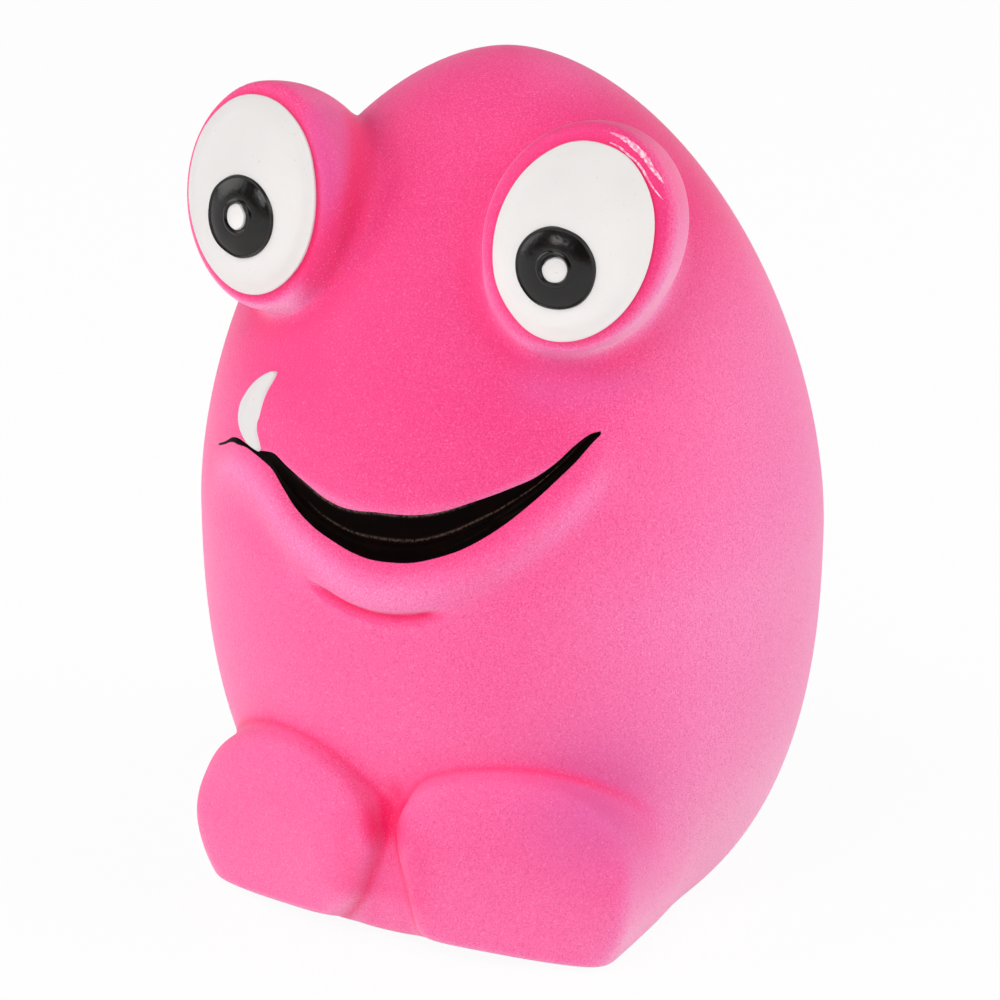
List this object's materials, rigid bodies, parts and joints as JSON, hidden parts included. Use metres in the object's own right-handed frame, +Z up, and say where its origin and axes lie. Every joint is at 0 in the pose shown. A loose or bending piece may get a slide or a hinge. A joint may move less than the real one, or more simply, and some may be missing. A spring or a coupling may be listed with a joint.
{
  "type": "squeaky dog toy",
  "caption": "Hollow soft-vinyl squeaky dog toy: a pink egg-shaped monster with pod eyes, a painted grin with a fang, two stub feet and a plug-in squeaker in its flat base",
  "frame": {"origin": "on the ground plane, under the middle of the toy's overall box", "axes": "+Z up, the toy looks along -Y, its own left side is +X"},
  "size_m": [0.0766, 0.0693, 0.1],
  "materials": {
    "vinyl": "soft matte vinyl, hot pink, moulded in one piece",
    "white": "hand-sprayed white paint",
    "black": "glossy black paint laid on thickly",
    "squeaker": "off-white moulded polyethylene",
    "reed": "thin amber springy film"
  },
  "bodies": {
    "toy": {"vinyl_body": "vinyl", "squeaker_cup": "squeaker", "reed_carrier": "squeaker", "reed_clip": "squeaker", "eye_white_left": "white", "eye_white_right": "white", "pupil_left": "black", "pupil_right": "black", "glint_left": "white", "glint_right": "white", "mouth_paint": "black", "fang_paint": "white"},
    "reed_blade": {"reed": "reed"}
  },
  "joints": [
    {"name": "reed_flex", "type": "hinge", "parent": "toy", "child": "reed_blade", "pos_m": [0, 0, 0.0068], "axis": [-1, 0, 0], "range_deg": [0, 5], "stiffness_Nm_per_rad": 0.0002}
  ]
}
